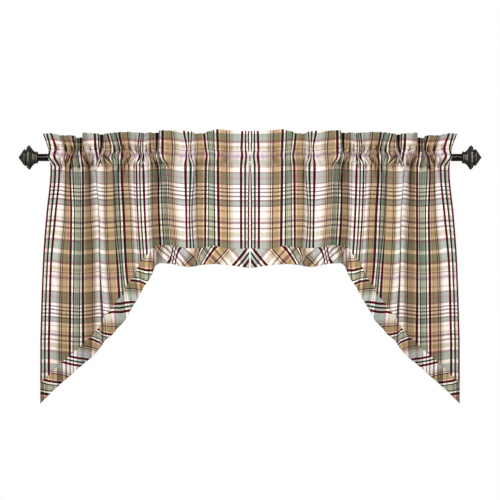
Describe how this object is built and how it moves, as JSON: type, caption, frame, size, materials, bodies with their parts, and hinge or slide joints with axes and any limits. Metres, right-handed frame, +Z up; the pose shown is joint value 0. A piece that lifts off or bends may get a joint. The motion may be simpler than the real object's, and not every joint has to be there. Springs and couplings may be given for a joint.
{
  "type": "swag window valance pair on a rod",
  "caption": "Pair of gathered plaid swag valance panels with a ruffled rod-pocket heading and bias bands, hung on a dark rod with faceted finials.",
  "frame": {"origin": "middle of the rod's axis, where the wall brackets would hold it", "axes": "+X along the rod to the viewer's right, -Y towards the room, +Z up"},
  "size_m": [1.576, 0.0856, 0.9336],
  "materials": {
    "plaid_cotton": "matt plain-woven cotton in a multi-stripe country plaid of cream, tan, sage, grey-blue, maroon and dark green",
    "plaid_band": "the same plaid cotton cut across and on the bias",
    "dark_bronze_rod": "satin oil-rubbed bronze paint on steel tube",
    "pewter_finial": "satin aged-pewter paint on cast metal, lighter along its edges"
  },
  "bodies": {
    "root": {"rod": "dark_bronze_rod", "left_finial_neck": "pewter_finial", "left_finial_body": "pewter_finial", "left_finial_tip": "pewter_finial", "right_finial_neck": "pewter_finial", "right_finial_body": "pewter_finial", "right_finial_tip": "pewter_finial", "left_swag_panel": "plaid_cotton", "right_swag_panel": "plaid_cotton", "left_long_band": "plaid_band", "left_short_band": "plaid_band", "right_long_band": "plaid_band", "right_short_band": "plaid_band"}
  },
  "joints": []
}
